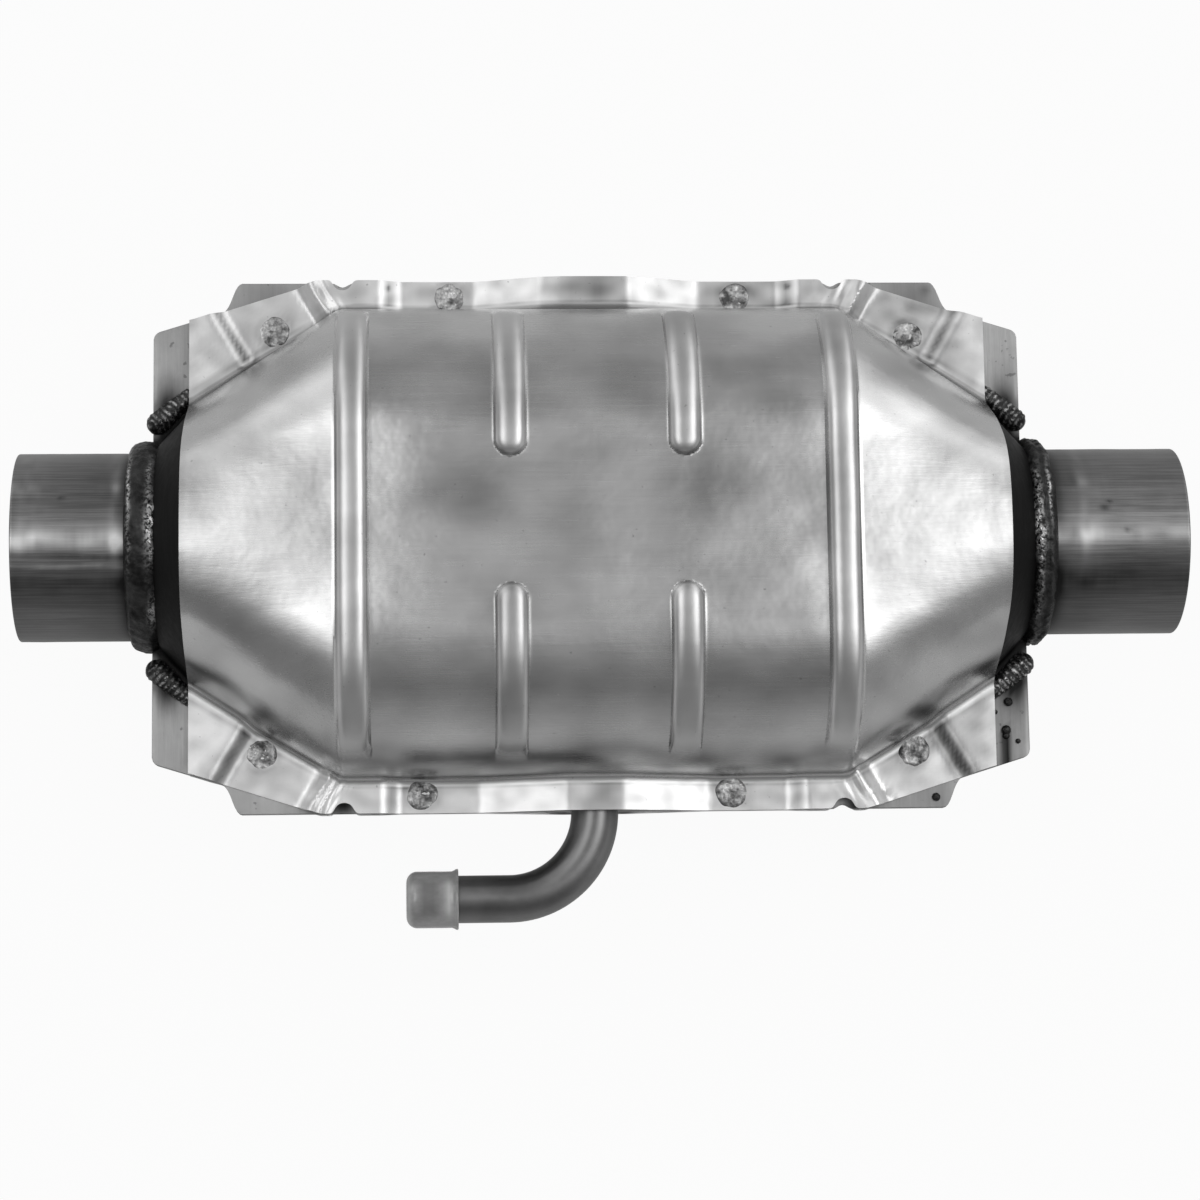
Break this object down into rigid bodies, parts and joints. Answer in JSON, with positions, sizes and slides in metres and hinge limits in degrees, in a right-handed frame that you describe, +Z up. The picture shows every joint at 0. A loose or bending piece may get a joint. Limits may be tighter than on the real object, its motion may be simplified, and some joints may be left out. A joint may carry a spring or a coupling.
{
  "type": "catalytic converter",
  "caption": "Oval split-shell catalytic converter in stamped ribbed heat shields, with a round pipe stub at each end and a capped air tube on one side.",
  "frame": {"origin": "centre of the inlet pipe's open mouth, on the pipe's axis", "axes": "+X along the pipes from inlet to outlet, +Z up through the upper heat shield, air tube on the -Y side"},
  "size_m": [0.3922, 0.2215, 0.116],
  "materials": {
    "bright_stamped_steel": "bright rolled sheet, fine lengthwise brushing",
    "dull_steel": "dull grey sheet, burnt dark near the welds",
    "pipe_steel": "dark drawn tube, satin",
    "weld_metal": "rough dark weld bead with glints",
    "spot_weld": "rough melted spot, pitted",
    "tube_steel": "satin drawn tube",
    "cap_plastic": "soft cloudy plastic, slightly see-through",
    "honeycomb": "matt fired honeycomb",
    "fibre_mat": "pressed mineral fibre",
    "wire_mesh": "knitted wire, pressed"
  },
  "bodies": {
    "root": {"upper_heat_shield": "bright_stamped_steel", "lower_heat_shield": "bright_stamped_steel", "upper_shell": "dull_steel", "lower_shell": "dull_steel", "inlet_pipe": "pipe_steel", "outlet_pipe": "pipe_steel", "inlet_pipe_weld": "weld_metal", "outlet_pipe_weld": "weld_metal", "inlet_plain_side_seam_weld": "weld_metal", "inlet_tube_side_seam_weld": "weld_metal", "outlet_plain_side_seam_weld": "weld_metal", "outlet_tube_side_seam_weld": "weld_metal", "upper_spot_welds": "spot_weld", "lower_spot_welds": "spot_weld", "air_tube": "tube_steel", "air_tube_weld": "weld_metal", "air_tube_cap": "cap_plastic", "front_catalyst_brick": "honeycomb", "rear_catalyst_brick": "honeycomb", "front_support_mat": "fibre_mat", "rear_support_mat": "fibre_mat", "front_mat_seals": "wire_mesh", "rear_mat_seals": "wire_mesh"}
  },
  "joints": []
}
